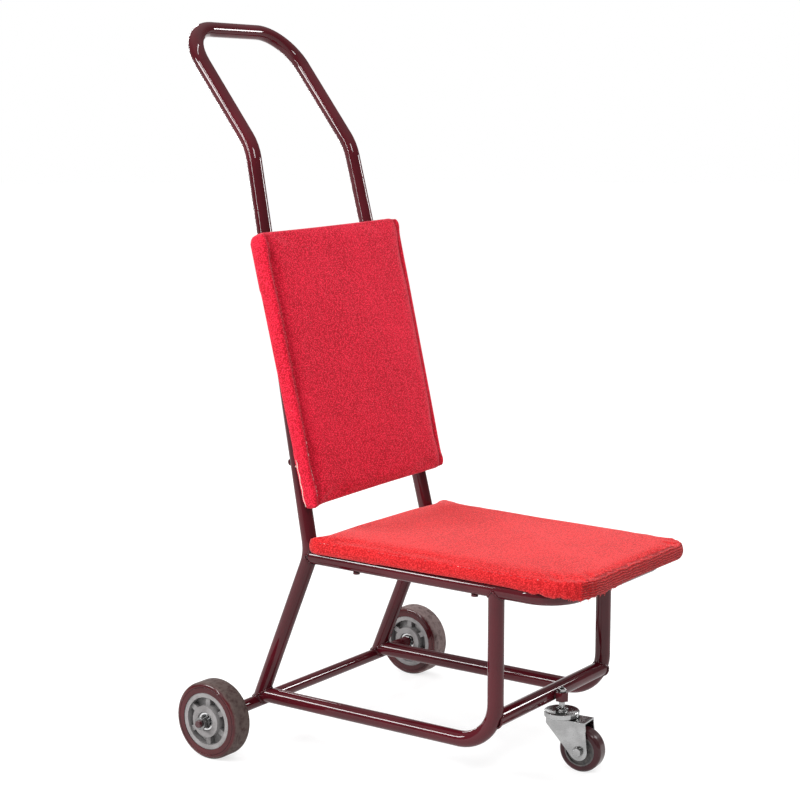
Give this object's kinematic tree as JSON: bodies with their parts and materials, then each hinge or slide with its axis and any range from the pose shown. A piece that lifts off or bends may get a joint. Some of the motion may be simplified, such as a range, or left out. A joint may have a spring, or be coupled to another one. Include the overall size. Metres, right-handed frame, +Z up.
{
  "type": "stacking chair trolley",
  "caption": "Hand trolley for moving stacked chairs: bent-tube frame with padded seat and back, hoop handle, rear wheels and a swivelling front caster.",
  "frame": {"origin": "on the floor under the middle of the overall width and length", "axes": "+Z up, -Y forward (the way the seat points), +X towards the pusher's left"},
  "size_m": [0.639, 0.7997, 1.1685],
  "materials": {
    "frame_paint": "gloss dark maroon paint",
    "tyre_rubber": "smooth maroon solid rubber, dusty on the tread",
    "hub_grey": "satin light grey moulding",
    "caster_rubber": "smooth maroon rubber",
    "caster_core": "satin dark grey moulding",
    "zinc": "satin zinc plate",
    "bearing_steel": "ground steel",
    "pad_cloth": "red looped pile cloth",
    "pad_foam": "cream open-cell foam",
    "pad_board": "dark lined plywood"
  },
  "bodies": {
    "trolley": {"back_frame_tube": "frame_paint", "seat_loop_tube": "frame_paint", "left_side_tube": "frame_paint", "right_side_tube": "frame_paint", "front_cross_bar": "frame_paint", "rear_axle_tube": "frame_paint", "stem_weld_nut": "frame_paint", "left_axle_stud": "zinc", "right_axle_stud": "zinc", "left_inner_spacer": "zinc", "right_inner_spacer": "zinc", "left_hub_sleeve": "bearing_steel", "right_hub_sleeve": "bearing_steel", "left_inner_races": "bearing_steel", "right_inner_races": "bearing_steel", "left_axle_washer": "zinc", "right_axle_washer": "zinc", "left_lock_nut": "zinc", "right_lock_nut": "zinc", "caster_stem": "zinc", "swivel_cup": "zinc", "swivel_nut": "zinc", "seat_board": "pad_board", "seat_foam": "pad_foam", "seat_cover": "pad_cloth", "seat_screws": "zinc", "seat_tee_nuts": "zinc", "back_board": "pad_board", "back_foam": "pad_foam", "back_cover": "pad_cloth", "back_screws": "zinc", "back_tee_nuts": "zinc"},
    "left_wheel": {"left_tyre": "tyre_rubber", "left_hub": "hub_grey", "left_outer_races": "bearing_steel", "left_bearing_balls": "bearing_steel"},
    "right_wheel": {"right_tyre": "tyre_rubber", "right_hub": "hub_grey", "right_outer_races": "bearing_steel", "right_bearing_balls": "bearing_steel"},
    "caster_fork": {"caster_fork": "zinc", "swivel_balls": "bearing_steel", "caster_axle_bolt": "zinc", "caster_axle_nut": "zinc", "caster_axle_washers": "zinc", "caster_axle_sleeve": "bearing_steel"},
    "caster_wheel": {"caster_tyre": "caster_rubber", "caster_hub": "caster_core"}
  },
  "joints": [
    {"name": "left_wheel_spin", "type": "hinge", "parent": "trolley", "child": "left_wheel", "pos_m": [0.28, 0.21125, 0.0625], "axis": [1, 0, 0], "continuous": true},
    {"name": "right_wheel_spin", "type": "hinge", "parent": "trolley", "child": "right_wheel", "pos_m": [-0.28, 0.21125, 0.0625], "axis": [1, 0, 0], "continuous": true},
    {"name": "caster_swivel", "type": "hinge", "parent": "trolley", "child": "caster_fork", "pos_m": [0, -0.26611, 0.085], "axis": [0, 0, 1], "continuous": true},
    {"name": "caster_wheel_spin", "type": "hinge", "parent": "caster_fork", "child": "caster_wheel", "pos_m": [0.00318, -0.30248, 0.035], "axis": [0.9962, 0.0872, 0], "continuous": true}
  ]
}
